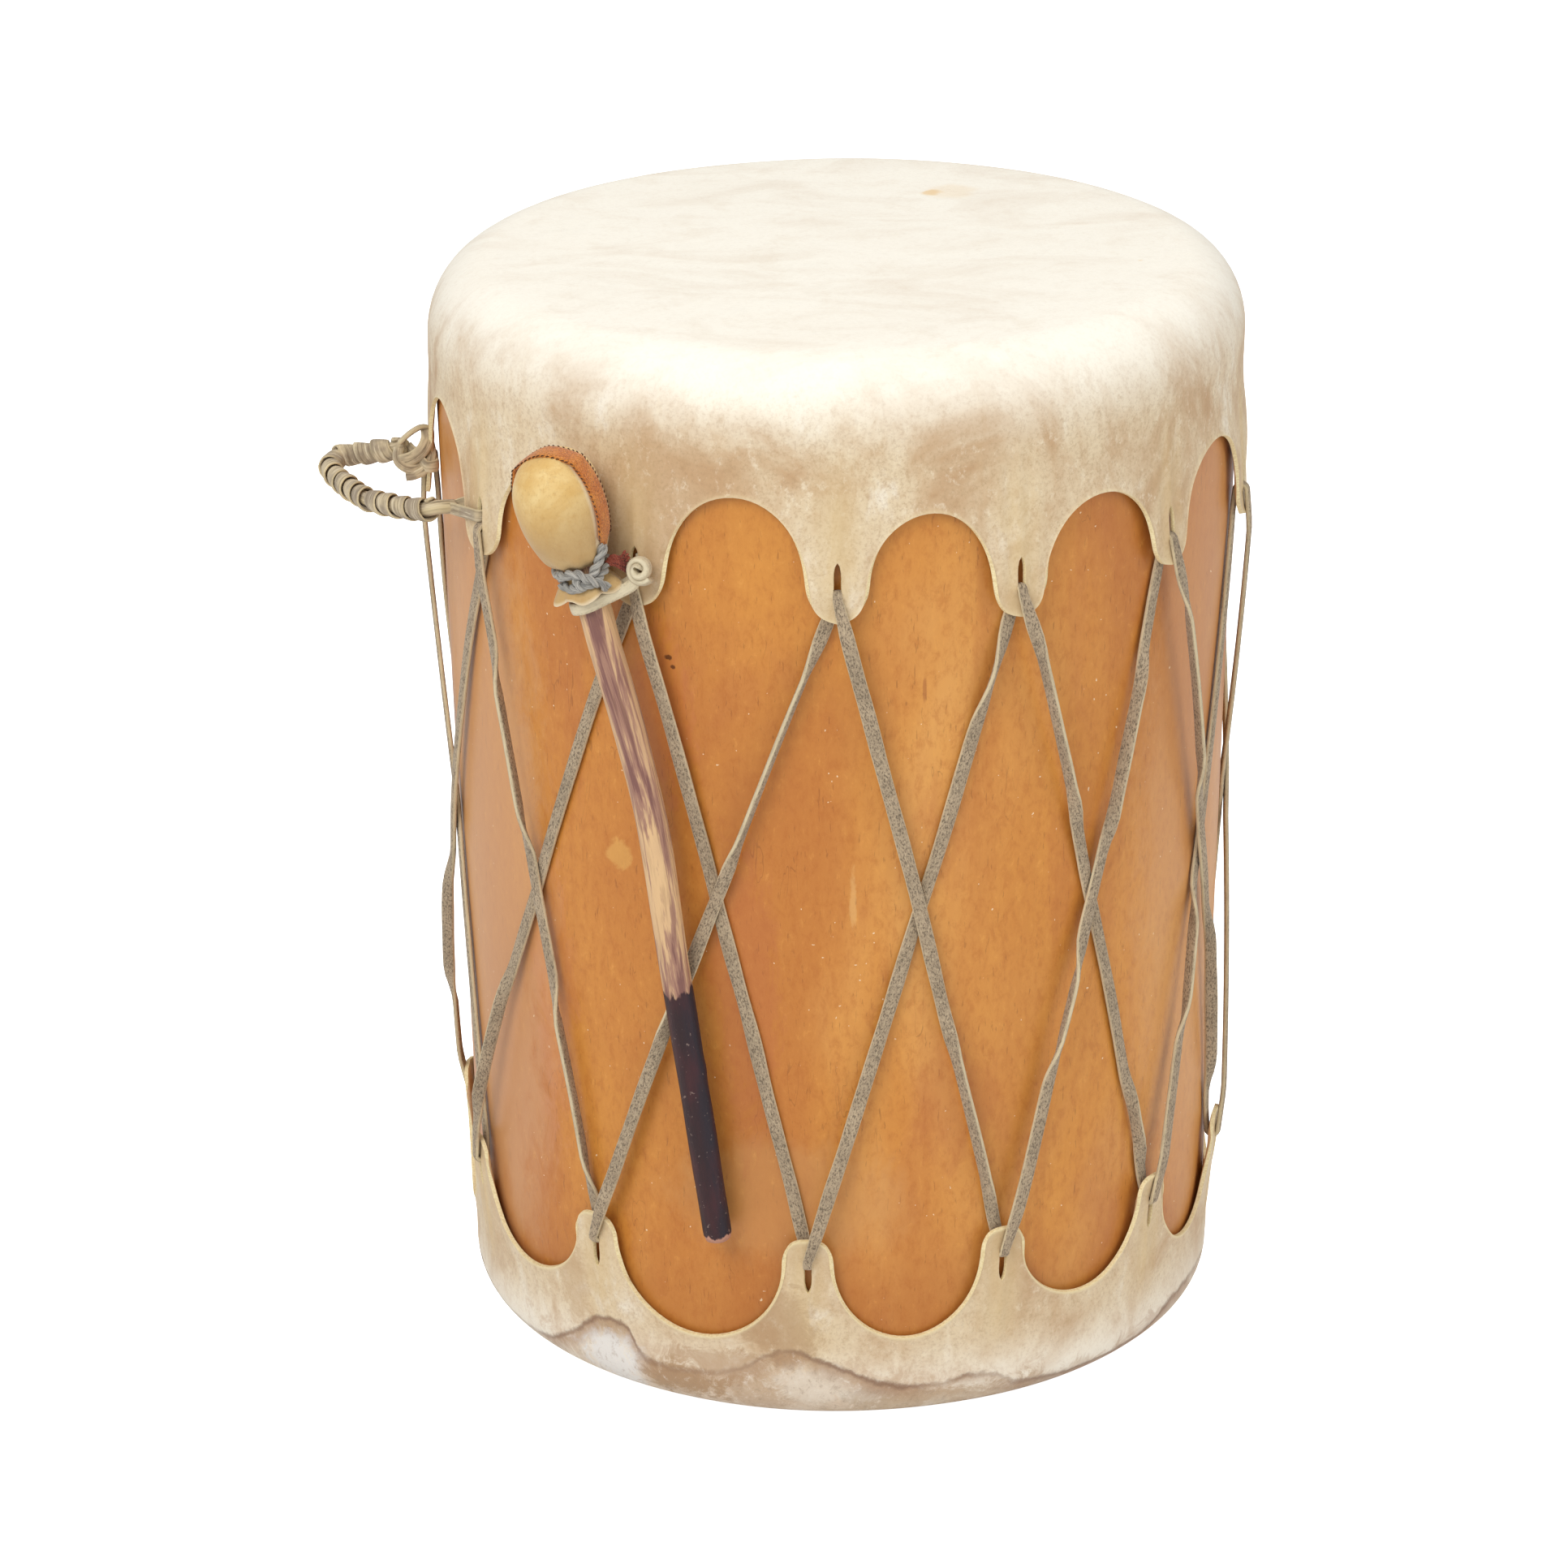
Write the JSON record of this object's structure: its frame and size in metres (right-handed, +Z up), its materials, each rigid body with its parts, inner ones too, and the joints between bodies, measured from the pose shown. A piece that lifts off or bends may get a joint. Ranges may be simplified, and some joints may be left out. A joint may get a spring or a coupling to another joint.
{
  "type": "ceremonial log drum",
  "caption": "Hollow log drum with a rawhide head at each end, one zigzag lace through slit tabs, a wrapped carrying handle and a padded beater hung in a thong loop.",
  "frame": {"origin": "centre of the drum's underside, on the log's axis", "axes": "+Z up along the log's axis to the playing head; -Y is the front, with the beater to its left; the carrying handle is on the -X side"},
  "size_m": [0.407, 0.3642, 0.485],
  "materials": {
    "log_wood": "oiled and worn, satin",
    "top_rawhide": "dried rawhide, smooth",
    "bottom_rawhide": "dried rawhide, stained",
    "lace": "grey-brown suede with pale edges",
    "handle_thong": "suede thong, wound",
    "stick_wood": "peeled branch above, dark bark below",
    "buckskin": "soft tanned hide",
    "rust_suede": "napped suede",
    "tie_cord": "twisted grey cord",
    "loop_thong": "pale suede thong"
  },
  "bodies": {
    "root": {"log_shell": "log_wood", "top_head": "top_rawhide", "bottom_head": "bottom_rawhide", "lace": "lace", "handle": "handle_thong", "beater_stick": "stick_wood", "beater_pad": "buckskin", "beater_gusset": "rust_suede", "neck_tie": "tie_cord", "beater_loop": "loop_thong"}
  },
  "joints": []
}
